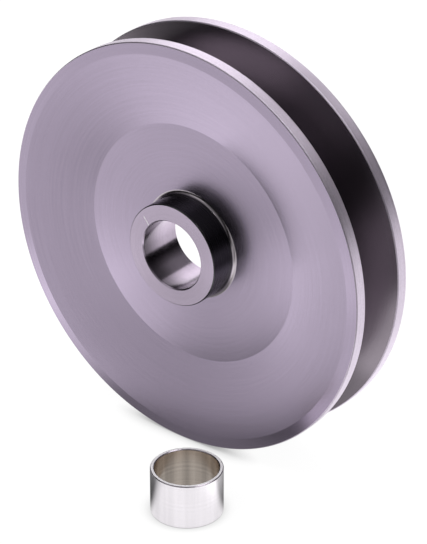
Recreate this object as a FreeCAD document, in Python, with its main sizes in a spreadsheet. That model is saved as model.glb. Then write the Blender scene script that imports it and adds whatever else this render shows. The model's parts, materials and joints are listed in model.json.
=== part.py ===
"""Single-groove V belt pulley turned from billet, with the loose sleeve that reduces its bore.

Lengths are in millimetres. The origin is on the bore axis at the groove's mid-plane, +Y runs along the bore
from the hub's face to the recessed back, and +Z is up. The pulley stands on its rim and the sleeve stands on
end in front of it, on the same bench.
"""

import FreeCAD, Part
import os

import Sketcher
from FreeCAD import Vector

SIZES = {
    # rim: outside diameter, overall width, and the flat land each side of the belt groove
    "rim_diameter": 101.6,
    "rim_width": 18.9,
    "land_width": 3.1,
    # belt groove: depth below the lands, included angle of its walls, and the radius in its floor's corners
    "groove_depth": 12.5,
    "groove_angle": 36.0,
    "groove_corner": 0.8,
    # front of the rim: a shallow bevelled ring whose inner edge stands a little proud
    "bevel_width": 2.75,
    "bevel_rise": 0.2,
    # dished web: the cone runs in to this diameter, where the flat middle starts
    "dish_diameter": 59.7,
    "dish_depth": 4.05,
    # hub: its face stands in front of the rim, and its foot is blended into the web
    "hub_diameter": 25.4,
    "hub_standout": 3.15,
    "hub_foot_radius": 1.0,
    # bore for the machine's shaft; its back end is flush with the floor of the rear recess
    "bore_diameter": 17.0,
    "bore_chamfer": 0.3,
    # rear recess, which clears the front of the machine the pulley is fitted to
    "recess_diameter": 64.0,
    "recess_floor": 8.95,
    "recess_corner": 2.0,
    # small broken edges, and how far the groove's cutter runs out past the rim
    "edge_break": 0.2,
    "cutter_overrun": 1.0,
    # reducer sleeve: a slide fit in the bore, with the smaller shaft's size inside
    "sleeve_diameter": 16.96,
    "sleeve_bore": 15.0,
    "sleeve_length": 11.3,
    "sleeve_chamfer": 0.2,
    # where the sleeve's centre line stands on the bench
    "sleeve_right": 20.8,
    "sleeve_forward": 32.8,
}

# Radii, and levels along the bore axis, each worked out from the sheet.
RIM_RADIUS = "Sizes.rim_diameter / 2"
HUB_RADIUS = "Sizes.hub_diameter / 2"
BORE_RADIUS = "Sizes.bore_diameter / 2"
RECESS_RADIUS = "Sizes.recess_diameter / 2"
BEVEL_RADIUS = "Sizes.rim_diameter / 2 - Sizes.bevel_width"
GROOVE_FLOOR = "Sizes.rim_diameter / 2 - Sizes.groove_depth"
FRONT = "-Sizes.rim_width / 2"
BACK = "Sizes.rim_width / 2"
HUB_FACE = "-Sizes.rim_width / 2 - Sizes.hub_standout"
WEB_FRONT = "-Sizes.rim_width / 2 + Sizes.dish_depth"
WEB_BACK = "-Sizes.rim_width / 2 + Sizes.recess_floor"
BEVEL_EDGE = "-Sizes.rim_width / 2 - Sizes.bevel_rise"
GROOVE_EDGE = "Sizes.rim_width / 2 - Sizes.land_width"
GROOVE_SLOPE = "tan(Sizes.groove_angle * 1deg / 2)"
GROOVE_FLOOR_EDGE = f"({GROOVE_EDGE} - Sizes.groove_depth * {GROOVE_SLOPE})"

# A radius below the first is on the axis; lengths that differ by less than the second are the same.
ON_AXIS = 1e-6
SAME = 1e-4

FILLET = "PartDesign::Fillet"
CHAMFER = "PartDesign::Chamfer"
ADD_METAL = "PartDesign::Revolution"
CUT_METAL = "PartDesign::Groove"


def make_sheet(doc):
    """Put the driving dimensions in a spreadsheet, one named cell each."""
    sheet = doc.addObject("Spreadsheet::Sheet", "Sizes")
    for row, (alias, value) in enumerate(SIZES.items(), start=1):
        sheet.set(f"A{row}", alias.replace("_", " "))
        sheet.set(f"B{row}", str(value))
        sheet.setAlias(f"B{row}", alias)
    doc.recompute()


def make_body(doc, label):
    """Start an empty body under its own label."""
    body = doc.addObject("PartDesign::Body", label)
    body.Label = label
    return body


def new_sketch(body, name, role):
    """Attach a new sketch to one of the body's own origin planes."""
    sketch = body.newObject("Sketcher::SketchObject", name)
    plane = next(item for item in body.Origin.OriginFeatures if item.Role == role)
    sketch.AttachmentSupport = (plane, [""])
    sketch.MapMode = "FlatFace"
    return sketch


def value_of(sketch, expression):
    """Work an expression out as a plain number, to start the sketch's geometry in the right place."""
    value = sketch.evalExpression(expression)
    return float(getattr(value, "Value", value))


def hold(sketch, kind, name, expression, *ends):
    """Add one named dimension and bind it to the sheet."""
    value = value_of(sketch, expression)
    index = sketch.addConstraint(Sketcher.Constraint(kind, *ends, value))
    sketch.renameConstraint(index, name)
    sketch.setExpression(f"Constraints.{name}", expression)


def draw_outline(sketch, corners):
    """Close a loop of lines through named corners, each held at its own (radius, level)."""
    places = [Vector(value_of(sketch, radius), value_of(sketch, level), 0) for _, radius, level in corners]
    ends = places[1:] + places[:1]
    sketch.addGeometry([Part.LineSegment(start, end) for start, end in zip(places, ends)])
    for index, (name, radius, level) in enumerate(corners):
        before = (index - 1) % len(corners)
        sketch.addConstraint(Sketcher.Constraint("Coincident", before, 2, index, 1))
        if abs(places[index].x) < ON_AXIS:
            sketch.addConstraint(Sketcher.Constraint("PointOnObject", index, 1, -2))
        else:
            hold(sketch, "DistanceX", f"{name}_radius", radius, -1, 1, index, 1)
        hold(sketch, "DistanceY", f"{name}_level", level, -1, 1, index, 1)


def draw_circle(sketch, name, diameter):
    """Draw a circle about the sketch's origin."""
    radius = value_of(sketch, diameter) / 2
    index = sketch.addGeometry(Part.Circle(Vector(0, 0, 0), Vector(0, 0, 1), radius))
    sketch.addConstraint(Sketcher.Constraint("Coincident", index, 3, -1, 1))
    hold(sketch, "Diameter", name, diameter, index)


def check_cut(feature, before):
    """A cut that points away from the solid removes nothing and reports no error."""
    if feature.Shape.Volume >= before - SAME:
        raise RuntimeError(f"{feature.Label} removed nothing")


def circles_at(shape, rings, axis):
    """Names of the shape's circular edges that match a (radius, level along axis) in rings."""
    names = []
    for index, edge in enumerate(shape.Edges, start=1):
        if not isinstance(edge.Curve, Part.Circle):
            continue
        radius = edge.Curve.Radius
        level = edge.Curve.Center.dot(axis)
        if any(abs(radius - r) < SAME and abs(level - y) < SAME for r, y in rings):
            names.append(f"Edge{index}")
    if len(names) != len(rings):
        raise RuntimeError(f"found {len(names)} of {len(rings)} edges")
    return names


def dress(body, kind, name, size, rings, axis):
    """Fillet or chamfer the ring-shaped edges given as (radius, level) expressions."""
    base = body.Tip
    found = [(value_of(base, radius), value_of(base, level)) for radius, level in rings]
    feature = body.newObject(kind, name)
    feature.Base = (base, circles_at(base.Shape, found, axis))
    feature.setExpression("Radius" if kind == FILLET else "Size", size)
    body.Document.recompute()


def turn(body, kind, name, corners):
    """Revolve an outline a full turn about the bore axis, to add metal or to cut it away."""
    sketch = new_sketch(body, f"{name}_section", "XY_Plane")
    draw_outline(sketch, corners)
    before = body.Shape.Volume if body.Tip else 0
    feature = body.newObject(kind, name)
    feature.Profile = sketch
    feature.ReferenceAxis = (sketch, ["V_Axis"])
    feature.Angle = 360
    body.Document.recompute()
    if kind == CUT_METAL:
        check_cut(feature, before)


def turn_blank(pulley):
    """The solid blank: proud hub, dished web, bevelled front and the plain outside of the rim."""
    corners = [
        ("axis_front", "0", HUB_FACE),
        ("hub_face", HUB_RADIUS, HUB_FACE),
        ("hub_foot", HUB_RADIUS, WEB_FRONT),
        ("dish", "Sizes.dish_diameter / 2", WEB_FRONT),
        ("bevel", BEVEL_RADIUS, BEVEL_EDGE),
        ("rim_front", RIM_RADIUS, FRONT),
        ("rim_back", RIM_RADIUS, BACK),
        ("axis_back", "0", BACK),
    ]
    turn(pulley, ADD_METAL, "blank", corners)


def cut_belt_groove(pulley):
    """The V for the belt, cut with a little overrun past the rim so that its mouth is clean."""
    overrun_radius = f"{RIM_RADIUS} + Sizes.cutter_overrun"
    overrun_edge = f"({GROOVE_EDGE} + Sizes.cutter_overrun * {GROOVE_SLOPE})"
    corners = [
        ("floor_front", GROOVE_FLOOR, f"-{GROOVE_FLOOR_EDGE}"),
        ("floor_back", GROOVE_FLOOR, GROOVE_FLOOR_EDGE),
        ("mouth_back", overrun_radius, overrun_edge),
        ("mouth_front", overrun_radius, f"-{overrun_edge}"),
    ]
    turn(pulley, CUT_METAL, "belt_groove", corners)


def cut_rear_recess(pulley):
    """The round recess in the back, whose floor is also the back of the web."""
    behind = f"{BACK} + Sizes.cutter_overrun"
    corners = [
        ("floor_middle", "0", WEB_BACK),
        ("floor_edge", RECESS_RADIUS, WEB_BACK),
        ("mouth_edge", RECESS_RADIUS, behind),
        ("mouth_middle", "0", behind),
    ]
    turn(pulley, CUT_METAL, "rear_recess", corners)


def cut_bore(pulley):
    """The round hole for the shaft, right through."""
    circle = new_sketch(pulley, "bore_circle", "XZ_Plane")
    draw_circle(circle, "bore", "Sizes.bore_diameter")
    before = pulley.Shape.Volume
    bore = pulley.newObject("PartDesign::Pocket", "bore")
    bore.Profile = circle
    bore.Type = "ThroughAll"
    bore.SideType = "Symmetric"
    pulley.Document.recompute()
    check_cut(bore, before)


def dress_pulley(pulley):
    """Blend the inside corners, chamfer the bore and break the sharp outside edges."""
    along = Vector(0, 1, 0)
    hub_foot = [(HUB_RADIUS, WEB_FRONT)]
    recess_corner = [(RECESS_RADIUS, WEB_BACK)]
    groove_corners = [(GROOVE_FLOOR, f"-{GROOVE_FLOOR_EDGE}"), (GROOVE_FLOOR, GROOVE_FLOOR_EDGE)]
    bore_ends = [(BORE_RADIUS, HUB_FACE), (BORE_RADIUS, WEB_BACK)]
    sharp_edges = [
        (HUB_RADIUS, HUB_FACE),
        (RIM_RADIUS, FRONT),
        (RIM_RADIUS, f"-({GROOVE_EDGE})"),
        (RIM_RADIUS, GROOVE_EDGE),
        (RIM_RADIUS, BACK),
        (RECESS_RADIUS, BACK),
    ]
    dress(pulley, FILLET, "hub_foot", "Sizes.hub_foot_radius", hub_foot, along)
    dress(pulley, FILLET, "recess_corner", "Sizes.recess_corner", recess_corner, along)
    dress(pulley, FILLET, "groove_corners", "Sizes.groove_corner", groove_corners, along)
    dress(pulley, CHAMFER, "bore_chamfers", "Sizes.bore_chamfer", bore_ends, along)
    dress(pulley, CHAMFER, "broken_edges", "Sizes.edge_break", sharp_edges, along)


def make_pulley(doc):
    """The pulley, made in the order a lathe would work."""
    pulley = make_body(doc, "pulley")
    turn_blank(pulley)
    cut_belt_groove(pulley)
    cut_rear_recess(pulley)
    cut_bore(pulley)
    dress_pulley(pulley)
    return pulley


def make_sleeve(doc):
    """A plain ring, chamfered inside and out at both ends, standing on the bench in front of the pulley."""
    sleeve = make_body(doc, "reducer_sleeve")
    rings = new_sketch(sleeve, "sleeve_rings", "XY_Plane")
    draw_circle(rings, "outside", "Sizes.sleeve_diameter")
    draw_circle(rings, "inside", "Sizes.sleeve_bore")
    wall = sleeve.newObject("PartDesign::Pad", "sleeve_wall")
    wall.Profile = rings
    wall.setExpression("Length", "Sizes.sleeve_length")
    doc.recompute()
    radii = ["Sizes.sleeve_diameter / 2", "Sizes.sleeve_bore / 2"]
    levels = ["0", "Sizes.sleeve_length"]
    ends = [(radius, level) for radius in radii for level in levels]
    dress(sleeve, CHAMFER, "sleeve_chamfers", "Sizes.sleeve_chamfer", ends, Vector(0, 0, 1))
    sleeve.setExpression("Placement.Base.x", "Sizes.sleeve_right")
    sleeve.setExpression("Placement.Base.y", "-Sizes.sleeve_forward")
    sleeve.setExpression("Placement.Base.z", f"-{RIM_RADIUS}")
    return sleeve


def check_document(doc, bodies):
    """Stop on any failed object, because a recompute reports none of them."""
    doc.recompute()
    for item in doc.Objects:
        if "Invalid" in item.State or "Error" in item.State:
            raise RuntimeError(f"{item.Label} is {item.State}")
    for body in bodies:
        if body.Shape.isNull() or not body.Shape.isValid():
            raise RuntimeError(f"{body.Label} has no valid shape")
        if len(body.Shape.Solids) != 1:
            raise RuntimeError(f"{body.Label} is not one solid")


def save(body):
    """Write the body under its own name and say how big it is."""
    body.Shape.exportStep(f"parts/{body.Label}.step")
    print(f"{body.Label}: {body.Shape.Volume:.1f} mm3, {len(body.Shape.Faces)} faces")


def main():
    doc = FreeCAD.newDocument("v_belt_pulley")
    make_sheet(doc)
    bodies = [make_pulley(doc), make_sleeve(doc)]
    check_document(doc, bodies)
    os.makedirs("parts", exist_ok=True)
    for body in bodies:
        save(body)


main()
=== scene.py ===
import json
import math

import bmesh
import bpy
import numpy as np
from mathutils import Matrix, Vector

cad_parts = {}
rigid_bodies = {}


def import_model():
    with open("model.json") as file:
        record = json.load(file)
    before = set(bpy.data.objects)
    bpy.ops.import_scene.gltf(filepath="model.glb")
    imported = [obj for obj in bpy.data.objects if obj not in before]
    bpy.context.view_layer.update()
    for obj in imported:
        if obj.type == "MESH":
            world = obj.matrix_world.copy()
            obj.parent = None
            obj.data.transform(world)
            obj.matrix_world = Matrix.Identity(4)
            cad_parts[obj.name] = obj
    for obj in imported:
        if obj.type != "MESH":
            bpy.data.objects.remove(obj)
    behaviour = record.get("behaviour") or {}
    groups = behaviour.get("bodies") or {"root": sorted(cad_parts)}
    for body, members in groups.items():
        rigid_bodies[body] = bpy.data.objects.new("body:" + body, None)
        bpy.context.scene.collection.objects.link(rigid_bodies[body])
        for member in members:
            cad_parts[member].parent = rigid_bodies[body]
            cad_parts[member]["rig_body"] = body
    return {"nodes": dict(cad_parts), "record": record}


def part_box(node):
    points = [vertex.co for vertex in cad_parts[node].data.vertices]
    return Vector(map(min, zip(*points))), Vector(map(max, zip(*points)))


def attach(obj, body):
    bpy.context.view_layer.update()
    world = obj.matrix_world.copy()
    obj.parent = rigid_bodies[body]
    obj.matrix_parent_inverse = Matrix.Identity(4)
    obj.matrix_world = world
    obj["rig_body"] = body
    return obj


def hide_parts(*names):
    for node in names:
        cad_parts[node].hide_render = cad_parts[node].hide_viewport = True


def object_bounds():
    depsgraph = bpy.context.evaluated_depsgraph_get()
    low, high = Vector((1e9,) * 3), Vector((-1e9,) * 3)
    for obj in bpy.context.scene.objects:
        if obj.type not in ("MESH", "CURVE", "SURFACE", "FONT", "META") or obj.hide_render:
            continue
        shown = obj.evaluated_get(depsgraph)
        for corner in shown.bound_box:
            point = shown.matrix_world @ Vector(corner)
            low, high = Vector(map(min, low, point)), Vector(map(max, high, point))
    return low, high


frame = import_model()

# A single-groove V belt pulley, turned from billet and hard anodised, standing on its rim beside its
# loose plated sleeve. Lengths are in metres. +Y runs along the bore, from the hub's face to the
# recessed back, and +Z is up.

MM = 0.001

# ---------------------------------------------------------------- sizes, from the CAD model

CAD_LOW, CAD_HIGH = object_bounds()
PULLEY_LOW, PULLEY_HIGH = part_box("pulley")
SLEEVE_LOW, SLEEVE_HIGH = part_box("reducer_sleeve")
MOUNTS = {mount["name"]: mount for mount in frame["record"]["mounts"]}

RIM_RADIUS = (PULLEY_HIGH.x - PULLEY_LOW.x) / 2
BORE_RADIUS = MOUNTS["shaft_bore"]["dims"]["r_mm"] * MM
HUB_FACE = PULLEY_LOW.y
FRONT_RIM = -PULLEY_HIGH.y
FLOOR_LEVEL = CAD_LOW.z
SLEEVE_MIDDLE = (SLEEVE_LOW + SLEEVE_HIGH) / 2
SLEEVE_BORE_RADIUS = MOUNTS["sleeve_bore"]["dims"]["r_mm"] * MM

# ---------------------------------------------------------------- choices for the meshes and finishes

MERGE = 0.0002 * MM         # points of the CAD mesh closer than this are one point
TURN_STEPS = 360            # mesh steps in a full turn
LONGEST_ROW = 1.5 * MM      # the outline's straight runs are split to this length
SHARP = math.radians(11)    # an outline corner that turns more than this gets its edge eased
EASED_RADIUS = 0.15 * MM
EASED_POINTS = 5            # points along each eased edge
EASED_SHARE = 0.3           # an edge's easing takes up at most this share of the shorter run beside it

# Finish zones. "Out" is how far a surface faces away from the axis, 0 for an end face and 1 for a side.
FOOT_LEVEL = 0.64 * FRONT_RIM   # where the painted glint ring at the hub's foot begins
FACES_OUT = 0.2                 # the pulley's outer sides face out by more than this
END_FACE = 0.3                  # the sleeve's ends face in or out by less than this
SIDE_FACE = 0.9                 # its sides by more than this, and its chamfers lie between

MOUTH_DEPTH = 8 * MM            # how far into the bore the painted shade at its mouth reaches
COARSE_MARKS = 3000.0           # how close the pulley's tool marks lie, as noise scales
FINE_MARKS = 9000.0

NICK_ANGLE = math.radians(140)  # the scratch's place round the hub from +X, towards +Z
NICK_SLANT = math.radians(12)   # how far it slants from pointing straight outwards
NICK_START = 0.2 * MM           # where along its line it begins and ends
NICK_END = 2.2 * MM
NICK_FADE = 0.3 * MM            # how softly its ends fade
NICK_CORE = 0.05 * MM           # half the width of its bright core, and of its faded edge
NICK_EDGE = 0.16 * MM

# ---------------------------------------------------------------- choices for the studio

CAMERA_AZIMUTH = 38.67      # degrees round from -Y towards +X
CAMERA_ELEVATION = 28.57
CAMERA_DISTANCE = 12.33 * RIM_RADIUS
CAMERA_LENS = 178.5
AIM_RIGHT = -0.1529 * RIM_RADIUS    # how far right of and above the aim the rim's front centre is seen
AIM_UP = 0.0983 * RIM_RADIUS

WHITE = (1, 1, 1, 1)
ROOM_ABOVE = 0.25           # how bright the room looks in the metal, straight above

BENCH_SIZE = 3.0
BENCH_WHITE = 0.96          # how bright the bench looks to the camera near the object
BACKDROP_WHITE = 1.1        # and far from it, where it meets the backdrop
BENCH_LEFT = 0.92           # how bright the bench looks in the metal, to the left and to the right
BENCH_RIGHT = 0.5
BENCH_BEHIND = 0.65         # extra, behind the pulley
LEFT_IN_SHADOW = 0.3        # the share of it that's left in a shadow
SLEEVE_POOL = 0.74          # how bright the bench looks in the sleeve, and inside the sleeve
INSIDE_SLEEVE = 0.36
CONTACT_REACH = 5 * MM      # how far from a touching surface the bench starts to darken
CONTACT_WHITE = 0.35        # and the share of its white that's left right beside it
SOFT_SHADOW = 0.09          # how much of the lamps' light and soft shadows the camera sees on the bench

# Round patches of painted shadow and painted light that the metal sees on the bench. Each has its
# middle's place in mm to the right of the
# bore and in front of it, the radius within which it's full, and the radius where it has faded out.
SHADOWS = [
    (0, 16, 14, 51),            # round the pulley's foot
    (24, 50, 16, 44),           # round the sleeve
    (75, 110, 25, 62),          # in front on the right, seen in the groove
    (80, 200, 40, 90),          # and farther out
]
# The last number is how much light a pool adds to the bench, or takes away from it.
POOLS = [
    (-16, 104, 12, 44, 0.45),   # lights the right of the bevel and of the web
    (-78, 48, 8, 32, 0.45),     # lights the top of the dish and the left of the bevel
    (-58, 40, 10, 28, 0.32),    # lights the upper right of the dish
    (-94, 74, 6, 28, 0.15),     # lights the left of the web
    (-46, 77, 4, 28, -0.36),    # dims the bottom of the dish and the middle of the web
    (-60, 102, 6, 30, -0.34),   # dims the lower left of the dish
]


# ---------------------------------------------------------------- smooth turned meshes


def half_section(node, centre, across, along):
    """The CAD node's own outline on one side of its axis: a closed loop of (radius, level) points."""
    cut = bmesh.new()
    cut.from_mesh(frame["nodes"][node].data)
    bmesh.ops.remove_doubles(cut, verts=cut.verts, dist=MERGE)
    everything = cut.verts[:] + cut.edges[:] + cut.faces[:]
    side = across.cross(along)
    found = bmesh.ops.bisect_plane(cut, geom=everything, dist=MERGE, plane_co=centre, plane_no=side)
    cut.verts.index_update()
    place, beside = {}, {}
    for edge in (item for item in found["geom_cut"] if isinstance(item, bmesh.types.BMEdge)):
        arms = [vert.co - centre for vert in edge.verts]
        if min(arm.dot(across) for arm in arms) < MERGE:
            continue
        for vert, arm, other in zip(edge.verts, arms, reversed(edge.verts[:])):
            place[vert.index] = (arm.dot(across), arm.dot(along))
            beside.setdefault(vert.index, set()).add(other.index)
    cut.free()
    loop = [min(beside)]
    loop.append(min(beside[loop[0]]))
    while loop[-1] != loop[0]:
        loop.append((beside[loop[-1]] - {loop[-2]}).pop())
    outline = np.array([place[index] for index in loop[:-1]])
    ahead = np.roll(outline, -1, axis=0)
    area = np.sum(outline[:, 0] * ahead[:, 1] - outline[:, 1] * ahead[:, 0])
    return outline if area > 0 else outline[::-1]


def ease_corners(outline):
    """Round each sharp corner of the outline with a tiny curve, as a deburred edge has."""
    eased = []
    neighbours = zip(np.roll(outline, 1, axis=0), outline, np.roll(outline, -1, axis=0))
    for before, corner, after in neighbours:
        back, ahead = before - corner, after - corner
        room = min(np.hypot(*back), np.hypot(*ahead))
        back, ahead = back / np.hypot(*back), ahead / np.hypot(*ahead)
        turn = math.pi - math.acos(max(-1.0, min(1.0, float(back @ ahead))))
        if turn < SHARP:
            eased.append(corner)
            continue
        trim = min(EASED_RADIUS * math.tan(turn / 2), EASED_SHARE * room)
        start, end = corner + back * trim, corner + ahead * trim
        for share in np.linspace(0, 1, EASED_POINTS):
            eased.append((1 - share) ** 2 * start + 2 * share * (1 - share) * corner + share ** 2 * end)
    return np.array(eased)


def split_runs(outline):
    """Add points along the outline's long straight runs, so that the mesh's quads stay near square."""
    points = []
    for start, end in zip(outline, np.roll(outline, -1, axis=0)):
        parts = max(1, math.ceil(np.hypot(*(end - start)) / LONGEST_ROW))
        points += [start + (end - start) * part / parts for part in range(parts)]
    return np.array(points)


def outline_normals(outline):
    """Outward normal at each outline point, weighted to the longer of the two runs that meet there."""
    runs = np.roll(outline, -1, axis=0) - outline
    normals = np.stack([runs[:, 1], -runs[:, 0]], axis=1)
    normals = normals * np.hypot(runs[:, 0], runs[:, 1])[:, None] ** 2
    normals = normals + np.roll(normals, 1, axis=0)
    return normals / np.hypot(normals[:, 0], normals[:, 1])[:, None]


def swing(pairs, across, along):
    """Every (radius, level) pair swung round the axis, spoke by spoke."""
    angles = np.linspace(0, 2 * math.pi, TURN_STEPS, endpoint=False)
    third = np.array(along.cross(across))
    spokes = np.outer(np.cos(angles), across) + np.outer(np.sin(angles), third)
    outward = spokes[:, None, :] * pairs[None, :, 0, None]
    return (outward + np.array(along) * pairs[None, :, 1, None]).reshape(-1, 3)


def faces_round(rows):
    """The quads that join each spoke's rows to the next spoke's, all the way round."""
    faces = []
    for spoke in range(TURN_STEPS):
        here = spoke * rows
        there = (spoke + 1) % TURN_STEPS * rows
        for row in range(rows):
            after = (row + 1) % rows
            faces.append((here + row, there + row, there + after, here + after))
    return faces


def zone_indices(outline, normals, zone):
    """The finish of each run of the outline, judged at the middle of the run."""
    middles = (outline + np.roll(outline, -1, axis=0)) / 2
    facings = (normals + np.roll(normals, -1, axis=0)) / 2
    return [zone(radius, level, out) for (radius, level), (out, _) in zip(middles, facings)]


def turned_piece(name, node, centre, across, along, zone):
    """Turn a CAD node's outline into a smooth mesh of the same size and place, which replaces it."""
    across, along, centre = Vector(across), Vector(along), Vector(centre)
    outline = split_runs(ease_corners(half_section(node, centre, across, along)))
    normals = outline_normals(outline)
    points = swing(outline, across, along) + np.array(centre)
    mesh = bpy.data.meshes.new(name)
    mesh.from_pydata(points.tolist(), [], faces_round(len(outline)))
    mesh.shade_smooth()
    mesh.normals_split_custom_set_from_vertices(swing(normals, across, along).tolist())
    mesh.polygons.foreach_set("material_index", zone_indices(outline, normals, zone) * TURN_STEPS)
    piece = bpy.data.objects.new(name, mesh)
    bpy.context.scene.collection.objects.link(piece)
    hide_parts(node)
    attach(piece, frame["nodes"][node]["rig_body"])
    return piece


# ---------------------------------------------------------------- shader building blocks


class Graph:
    """A node tree with short ways to add nodes: inputs take plain values or other nodes' sockets."""

    def __init__(self, tree):
        self.tree = tree
        tree.nodes.clear()

    def add(self, kind, inputs=None, **settings):
        node = self.tree.nodes.new(kind)
        for name, value in settings.items():
            setattr(node, name, value)
        for name, value in (inputs or {}).items():
            self.feed(node.inputs[name], value)
        return node

    def feed(self, socket, value):
        if isinstance(value, bpy.types.NodeSocket):
            self.tree.links.new(value, socket)
        elif value is not None:
            socket.default_value = value

    def math(self, operation, a, b=None):
        return self.add("ShaderNodeMath", {0: a, 1: b}, operation=operation).outputs[0]

    def vector(self, operation, a, b=None, scale=None):
        node = self.add("ShaderNodeVectorMath", {0: a, 1: b, 3: scale}, operation=operation)
        return node.outputs["Value" if operation in ("DOT_PRODUCT", "LENGTH") else "Vector"]

    def join(self, x, y, z):
        return self.add("ShaderNodeCombineXYZ", {0: x, 1: y, 2: z}).outputs[0]

    def split(self, vector):
        return self.add("ShaderNodeSeparateXYZ", {0: vector}).outputs

    def mix(self, factor, a, b):
        """Blend two numbers."""
        return self.add("ShaderNodeMix", {0: factor, 2: a, 3: b}, data_type="FLOAT").outputs[0]

    def mix_color(self, factor, a, b, blend="MIX"):
        node = self.add("ShaderNodeMix", {0: factor, 6: a, 7: b}, data_type="RGBA", blend_type=blend)
        return node.outputs[2]

    def step(self, value, start, end, low=0.0, high=1.0):
        """Go smoothly from low to high as value goes from start to end."""
        inputs = {"Value": value, "From Min": start, "From Max": end, "To Min": low, "To Max": high}
        return self.add("ShaderNodeMapRange", inputs, interpolation_type="SMOOTHSTEP").outputs[0]

    def band(self, value, start, end, soft):
        """1 between start and end, falling to 0 over soft on each side."""
        rise = self.step(value, start - soft, start)
        fall = self.step(value, end, end + soft, 1.0, 0.0)
        return self.math("MULTIPLY", rise, fall)

    def noise(self, vector, scale, detail=2.0, roughness=0.5):
        inputs = {"Vector": vector, "Scale": scale, "Detail": detail, "Roughness": roughness}
        return self.add("ShaderNodeTexNoise", inputs).outputs[0]

    def noise_1d(self, value, scale, detail=2.0):
        node = self.add("ShaderNodeTexNoise", noise_dimensions="1D")
        for name, given in (("W", value), ("Scale", scale), ("Detail", detail)):
            self.feed(node.inputs[name], given)
        return node.outputs[0]

    def either_way(self, value, start, end, size):
        """Go from -size to +size as value goes from start to end."""
        return self.step(value, start, end, -size, size)

    def shaded(self, base, shade):
        """A base colour made lighter or darker by the number shade."""
        return self.mix_color(1.0, (*base, 1), self.join(shade, shade, shade), "MULTIPLY")


def new_material(name):
    material = bpy.data.materials.new(name)
    material.use_nodes = True
    return material, Graph(material.node_tree)


def around_axis(graph, place, centre, axis):
    """Cylinder coordinates about an axis: radius, level along it, and the unit direction round it."""
    local = graph.vector("SUBTRACT", place, tuple(centre))
    x, y, z = graph.split(local)
    if axis == "Y":
        level, across = y, graph.join(x, 0.0, z)
        round_it = graph.join(z, 0.0, graph.math("MULTIPLY", x, -1.0))
    else:
        level, across = z, graph.join(x, y, 0.0)
        round_it = graph.join(graph.math("MULTIPLY", y, -1.0), x, 0.0)
    radius = graph.vector("LENGTH", across)
    return radius, level, graph.vector("NORMALIZE", across), graph.vector("NORMALIZE", round_it)


def across_the_lay(graph, round_it):
    """World direction across the turning marks: square to the surface and to the way round."""
    turned = graph.add("ShaderNodeVectorTransform", {0: round_it}, vector_type="VECTOR",
                       convert_from="OBJECT", convert_to="WORLD").outputs[0]
    normal = graph.add("ShaderNodeNewGeometry").outputs["Normal"]
    return graph.vector("NORMALIZE", graph.vector("CROSS_PRODUCT", normal, turned))


def turned_height(graph, along_profile, outward, coarse, fine):
    """Height of lathe marks: coarse and fine rings, broken up a little on the way round."""
    wobble = graph.noise(outward, 2.5, 1.0)
    shifted = graph.math("ADD", along_profile, graph.math("MULTIPLY", wobble, 0.03 * MM))
    rings = graph.noise_1d(shifted, coarse, 2.0)
    threads = graph.noise_1d(shifted, fine, 1.0)
    return graph.math("ADD", graph.math("MULTIPLY", rings, 0.6), graph.math("MULTIPLY", threads, 0.4))


# ---------------------------------------------------------------- materials


def nick_on_hub(graph, place):
    """1 along a small scratch that runs out across the hub's face from the bore, and 0 elsewhere."""
    slanted = NICK_ANGLE - NICK_SLANT
    start = Vector((math.cos(NICK_ANGLE), 0, math.sin(NICK_ANGLE))) * (BORE_RADIUS + NICK_FADE)
    along = Vector((math.cos(slanted), 0, math.sin(slanted)))
    across = Vector((-along.z, 0, along.x))
    local = graph.vector("SUBTRACT", place, tuple(start))
    length = graph.vector("DOT_PRODUCT", local, tuple(along))
    width = graph.math("ABSOLUTE", graph.vector("DOT_PRODUCT", local, tuple(across)))
    line = graph.band(length, NICK_START, NICK_END, NICK_FADE)
    thin = graph.step(width, NICK_CORE, NICK_EDGE, 1.0, 0.0)
    on_hub = graph.step(graph.split(place)[1], HUB_FACE + 0.5 * MM, HUB_FACE + 0.4 * MM)
    return graph.math("MULTIPLY", graph.math("MULTIPLY", line, thin), on_hub)


def turned_tone(graph, place, profile, outward, tone):
    """Streaks round the piece, and the tone they give it together with a soft cloud and a fine grain."""
    fine_rings = graph.join(0.0, graph.math("MULTIPLY", profile, 2400.0), 0.0)
    streak_place = graph.vector("ADD", graph.vector("SCALE", outward, scale=1.3), fine_rings)
    streaks = graph.noise(streak_place, 1.0, 3.0, 0.6)
    cloud = graph.either_way(graph.noise(place, 45.0, 3.0), 0.3, 0.7, 0.5 * tone)
    grain = graph.either_way(graph.noise(place, 2200.0, 2.0, 0.7), 0.3, 0.7, 0.7 * tone)
    shade = graph.math("ADD", cloud, graph.either_way(streaks, 0.25, 0.75, tone))
    return streaks, graph.math("ADD", shade, grain)


def finish_turned(graph, material, colour, metallic, rough, lay, round_it, normal):
    """Give a material its surface, whose highlights stretch across the turning marks."""
    shader = graph.add("ShaderNodeBsdfPrincipled", {
        "Base Color": colour,
        "Metallic": metallic,
        "Roughness": rough,
        "Anisotropic": lay,
        "Tangent": across_the_lay(graph, round_it),
        "Normal": normal,
    })
    graph.add("ShaderNodeOutputMaterial", {"Surface": shader.outputs[0]})
    return material


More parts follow.
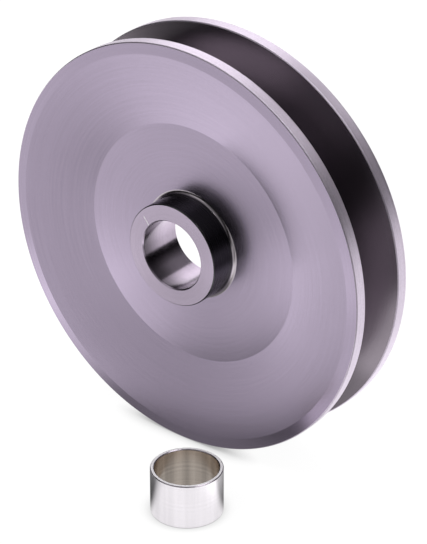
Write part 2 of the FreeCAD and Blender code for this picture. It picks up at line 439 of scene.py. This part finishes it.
def turned_material(name, base, roughness, lay, marks, tone=0.04, nick=False, mouth=1.0):
    """Metal turned about the bore's axis.

    base is its tint, roughness how satin it is, lay how directional, marks how deep the tool marks
    are, tone how much its shade varies, nick adds the scratch, and mouth is what's left of its tint
    at the hub's face, a painted shade that darkens the bore's mouth.
    """
    material, graph = new_material(name)
    place = graph.add("ShaderNodeTexCoord").outputs["Object"]
    radius, level, outward, round_it = around_axis(graph, place, (0, 0, 0), "Y")
    profile = graph.math("ADD", radius, level)
    streaks, shade = turned_tone(graph, place, profile, outward, tone)
    # Painted shade: the tint darkens towards the hub's face.
    mouth_shade = graph.step(level, HUB_FACE, HUB_FACE + MOUTH_DEPTH, mouth, 1.0)
    colour = graph.shaded(base, graph.math("MULTIPLY", graph.math("ADD", shade, 1.0), mouth_shade))
    rough = graph.math("ADD", roughness, graph.either_way(streaks, 0.2, 0.8, tone * roughness))
    if nick:
        scratch = nick_on_hub(graph, place)
        colour = graph.mix_color(scratch, colour, (1.0, 0.97, 1.0, 1))
        rough = graph.mix(scratch, rough, 0.6)
    height = turned_height(graph, profile, outward, COARSE_MARKS, FINE_MARKS)
    bump = graph.add("ShaderNodeBump", {"Height": height, "Distance": 0.002 * MM, "Strength": marks})
    return finish_turned(graph, material, colour, 1.0, rough, lay, round_it, bump.outputs[0])


def pulley_finishes():
    """The pulley's finishes by zone, in the order of its material slots."""
    return [
        turned_material("satin_anodise", (0.435, 0.368, 0.482), 0.24, 0.7, 0.05, tone=0.025),
        # The hub's face: the web's anodise painted lighter, as painted light; the scratch on it is real.
        turned_material("hub_face", (0.535, 0.455, 0.57), 0.24, 0.7, 0.05, tone=0.025, nick=True),
        turned_material("dark_hub_side", (0.085, 0.085, 0.09), 0.27, 0.3, 0.15),
        # The groove: a darker copy of the anodise, painted shade for the shade between its walls.
        turned_material("groove_painted_shade", (0.27, 0.235, 0.27), 0.26, 0.5, 0.4),
        # The lands: a lighter copy of the anodise, a painted highlight.
        turned_material("land_painted_highlight", (0.65, 0.575, 0.68), 0.42, 0.0, 0.6, tone=0.08),
        # The fillet ring at the hub's foot: a lighter copy of the metal, a painted glint.
        turned_material("foot_ring_painted_glint", (0.54, 0.49, 0.53), 0.22, 0.0, 0.2),
        # The bore: polished, its mouth darkened by painted shade.
        turned_material("polished_bore_painted_mouth_shade", (0.42, 0.355, 0.44), 0.20, 0.3, 0.15, mouth=0.25),
    ]


SATIN, HUB_END, HUB_SIDE, GROOVE, LAND, FOOT_RING, BORE = range(7)


def pulley_zone(radius, level, out):
    """Which finish a point of the pulley's outline has; out says how far it faces from the axis."""
    if radius < 1.01 * BORE_RADIUS:
        return BORE
    if out < FACES_OUT:
        return HUB_END if level < HUB_FACE + MM else SATIN
    if radius > 0.99 * RIM_RADIUS:
        return LAND
    if radius > RIM_RADIUS / 2:
        return GROOVE
    return FOOT_RING if level > FOOT_LEVEL else HUB_SIDE


def plated_material(name, base, roughness, bands, metallic=1.0):
    """Nickel plate on the turned steel sleeve; bands is how much its tone varies on the way round, in
    painted reflection bands, and by three tenths of that in its turned rings.
    """
    material, graph = new_material(name)
    place = graph.add("ShaderNodeTexCoord").outputs["Object"]
    radius, level, outward, round_it = around_axis(graph, place, SLEEVE_MIDDLE, "Z")
    profile = graph.math("ADD", radius, level)
    # Painted reflection bands: the tone varies on the way round the sleeve.
    painted_reflection_bands = graph.either_way(graph.noise(outward, 3.0, 3.0), 0.3, 0.7, bands)
    rings = graph.either_way(graph.noise_1d(profile, 1700.0), 0.3, 0.7, 0.3 * bands)
    colour = graph.shaded(base, graph.math("ADD", graph.math("ADD", painted_reflection_bands, rings), 1.0))
    cloud = graph.either_way(graph.noise(place, 220.0, 3.0), 0.3, 0.7, 0.03)
    rough = graph.math("ADD", roughness, cloud)
    height = turned_height(graph, profile, outward, 2200.0, 6000.0)
    bump = graph.add("ShaderNodeBump", {"Height": height, "Distance": 0.003 * MM, "Strength": 0.3})
    return finish_turned(graph, material, colour, metallic, rough, 0.3, round_it, bump.outputs[0])


def sleeve_finishes():
    """The sleeve's finishes by zone, in the order of its material slots."""
    return [
        plated_material("plated_outside", (0.87, 0.835, 0.875), 0.21, 0.05),
        # The end: a near-white, mostly non-metal copy of the plate, a painted highlight.
        plated_material("plated_end_painted_highlight", (0.98, 0.95, 0.98), 0.40, 0.03, metallic=0.1),
        # The inside: a darker, warmer copy of the plate, painted shade inside the sleeve, with painted
        # reflection bands.
        plated_material("plated_inside_painted_shade", (0.64, 0.565, 0.50), 0.22, 0.24),
        # The chamfers: a darker copy of the plate, a painted shade outlining the end.
        plated_material("plated_chamfer_painted_shade", (0.46, 0.41, 0.47), 0.30, 0.20),
    ]


OUTSIDE, END, INSIDE, CHAMFER = range(4)


def sleeve_zone(radius, level, out):
    """Which finish a point of the sleeve's outline has; out says how far it faces from the axis."""
    if abs(out) < END_FACE:
        return END
    if abs(out) < SIDE_FACE:
        return CHAMFER
    return OUTSIDE if out > 0 else INSIDE


def make_pulley():
    """The pulley, turned about the bore's axis."""
    centre, across, along = (0, 0, 0), (1, 0, 0), (0, 1, 0)
    pulley = turned_piece("turned_pulley", "pulley", centre, across, along, pulley_zone)
    for finish in pulley_finishes():
        pulley.data.materials.append(finish)


def make_sleeve():
    """The reducer sleeve, turned about its own upright axis."""
    centre, across, along = SLEEVE_MIDDLE, (1, 0, 0), (0, 0, 1)
    sleeve = turned_piece("plated_sleeve", "reducer_sleeve", centre, across, along, sleeve_zone)
    for finish in sleeve_finishes():
        sleeve.data.materials.append(finish)


# ---------------------------------------------------------------- studio


def camera_ray(graph):
    """1 where the camera looks straight at a surface, and 0 where something else reflects it."""
    return graph.add("ShaderNodeLightPath").outputs["Is Camera Ray"]


def patch(graph, place, right, forward, inner, outer):
    """1 inside a round patch of the bench, given in mm from the bore, fading to 0 at its outer radius."""
    offset = graph.vector("SUBTRACT", place, (right * MM, -forward * MM, 0))
    return graph.step(graph.vector("LENGTH", offset), inner * MM, outer * MM, 1.0, 0.0)


def bench_glow(graph, place):
    """How bright the bench looks in the metal: shadowed round the pulley's foot, dimmer to the right."""
    x, y, _ = graph.split(place)
    bench = graph.step(x, 0.0, 110 * MM, BENCH_LEFT, BENCH_RIGHT)
    for shadow in SHADOWS:
        left_over = graph.step(patch(graph, place, *shadow), 0.0, 1.0, 1.0, LEFT_IN_SHADOW)
        bench = graph.math("MULTIPLY", bench, left_over)
    for *pool, gain in POOLS:
        added = graph.math("MULTIPLY", patch(graph, place, *pool), gain)
        bench = graph.math("ADD", bench, added)
    behind = graph.step(y, 3 * MM, 16 * MM, 0.0, BENCH_BEHIND)
    return graph.math("ADD", bench, behind)


def sleeve_glow(graph, place):
    """A pool of light on the bench on the sleeve's open side, and a dimmer one inside the sleeve."""
    open_side = Vector((0.6, -0.8, 0))
    pool_middle = Vector((20 * MM, -18 * MM, 0))
    from_sleeve = graph.vector("SUBTRACT", place, (SLEEVE_MIDDLE.x, SLEEVE_MIDDLE.y, 0))
    away = graph.vector("LENGTH", graph.vector("SUBTRACT", from_sleeve, tuple(pool_middle)))
    near = graph.step(away, 28 * MM, 46 * MM, SLEEVE_POOL, 0.0)
    side = graph.vector("DOT_PRODUCT", from_sleeve, tuple(open_side))
    outside = graph.math("MULTIPLY", near, graph.step(side, -4 * MM, 3 * MM))
    reach = graph.vector("LENGTH", from_sleeve)
    is_outside = graph.step(reach, SLEEVE_BORE_RADIUS, SLEEVE_BORE_RADIUS + 1 * MM)
    return graph.mix(is_outside, INSIDE_SLEEVE, outside)


def bench_seen(graph, place):
    """The bench as the camera sees it: almost white, with a soft shadow where something touches it."""
    open_air = graph.add("ShaderNodeAmbientOcclusion", {"Distance": CONTACT_REACH}, samples=16)
    white = graph.step(graph.vector("LENGTH", place), 0.15, 0.5, BENCH_WHITE, BACKDROP_WHITE)
    unshaded = graph.step(open_air.outputs["AO"], 0.0, 0.9, CONTACT_WHITE, 1.0)
    white = graph.math("MULTIPLY", white, unshaded)
    glow = graph.add("ShaderNodeEmission", {"Strength": white})
    cast = graph.add("ShaderNodeBsdfDiffuse", {"Color": (SOFT_SHADOW, SOFT_SHADOW, SOFT_SHADOW, 1)})
    return graph.add("ShaderNodeAddShader", {0: glow.outputs[0], 1: cast.outputs[0]}).outputs[0]


def make_floor():
    """A pale bench top. In the metal it glows by itself, with painted shadows and painted pools of light.
    """
    bpy.ops.mesh.primitive_plane_add(size=BENCH_SIZE, location=(0, 0, FLOOR_LEVEL))
    floor = bpy.context.object
    floor.name = "floor"
    material, graph = new_material("pale_floor")
    place = graph.add("ShaderNodeTexCoord").outputs["Object"]
    strength = graph.math("ADD", bench_glow(graph, place), sleeve_glow(graph, place))
    mirrored = graph.add("ShaderNodeEmission", {"Strength": strength}).outputs[0]
    shown = {0: camera_ray(graph), 1: mirrored, 2: bench_seen(graph, place)}
    graph.add("ShaderNodeOutputMaterial", {"Surface": graph.add("ShaderNodeMixShader", shown).outputs[0]})
    floor.data.materials.append(material)


def make_world():
    """A white backdrop to the camera. The metal sees a room that's black at the horizon and dim above."""
    world = bpy.data.worlds.new("studio")
    bpy.context.scene.world = world
    world.use_nodes = True
    graph = Graph(world.node_tree)
    height = graph.split(graph.add("ShaderNodeTexCoord").outputs["Generated"])[2]
    dim_above = graph.step(height, 0.2, 0.9, 0.0, ROOM_ABOVE)
    room = graph.add("ShaderNodeBackground", {"Color": WHITE, "Strength": dim_above})
    white = graph.add("ShaderNodeBackground", {"Color": WHITE, "Strength": BACKDROP_WHITE})
    shown = {0: camera_ray(graph), 1: room.outputs[0], 2: white.outputs[0]}
    graph.add("ShaderNodeOutputWorld", {"Surface": graph.add("ShaderNodeMixShader", shown).outputs[0]})


def towards(azimuth, elevation):
    """Unit direction from the object: azimuth 0 is -Y, the hub's side, and 90 is +X."""
    azimuth, elevation = math.radians(azimuth), math.radians(elevation)
    flat = math.cos(elevation)
    return Vector((math.sin(azimuth) * flat, -math.cos(azimuth) * flat, math.sin(elevation)))


def soft_box(name, azimuth, elevation, distance, width, height, radiance, in_metal=True):
    """A rectangular light, aimed at the object; in_metal says whether the metal reflects it."""
    light = bpy.data.lights.new(name, "AREA")
    light.shape = "RECTANGLE"
    light.size, light.size_y = width, height
    light.energy = radiance * math.pi * width * height
    lamp = bpy.data.objects.new(name, light)
    aim = towards(azimuth, elevation)
    lamp.location = aim * distance
    lamp.rotation_mode = "QUATERNION"
    lamp.rotation_quaternion = aim.to_track_quat("Z", "Y")
    lamp.visible_camera = False
    lamp.visible_glossy = in_metal
    bpy.context.scene.collection.objects.link(lamp)


def make_lights():
    """Soft boxes, each by azimuth, elevation, distance, width, height and radiance."""
    soft_box("back_wall", 203, 20, 1.0, 1.7, 0.75, 0.5)
    soft_box("back_left_key", 215, 36, 0.9, 0.7, 0.6, 1.3)
    soft_box("overhead_back", 180, 75, 0.8, 0.45, 0.3, 1.4)
    soft_box("right_fill", 112, 60, 1.0, 0.6, 0.5, 4.3)
    soft_box("front_high", 328, 48, 0.9, 0.45, 0.28, 0.5)
    soft_box("bench_wash", 320, 55, 0.5, 0.2, 0.2, 8.0, in_metal=False)


def make_camera():
    """The view: round to the right of the hub's side and above it, through a long lens."""
    ahead = -towards(CAMERA_AZIMUTH, CAMERA_ELEVATION)
    right = ahead.cross(Vector((0, 0, 1))).normalized()
    up = right.cross(ahead)
    aimed_at = Vector((0, FRONT_RIM, 0)) - right * AIM_RIGHT - up * AIM_UP
    data = bpy.data.cameras.new("camera")
    data.sensor_width = 36.0
    data.lens = CAMERA_LENS
    data.clip_start = 0.01
    data.clip_end = 10.0
    camera = bpy.data.objects.new("camera", data)
    camera.location = aimed_at - ahead * CAMERA_DISTANCE
    camera.rotation_mode = "QUATERNION"
    camera.rotation_quaternion = ahead.to_track_quat("-Z", "Y")
    bpy.context.scene.collection.objects.link(camera)
    bpy.context.scene.camera = camera


bpy.context.scene.view_settings.view_transform = "Standard"
make_pulley()
make_sleeve()
make_floor()
make_world()
make_lights()
make_camera()
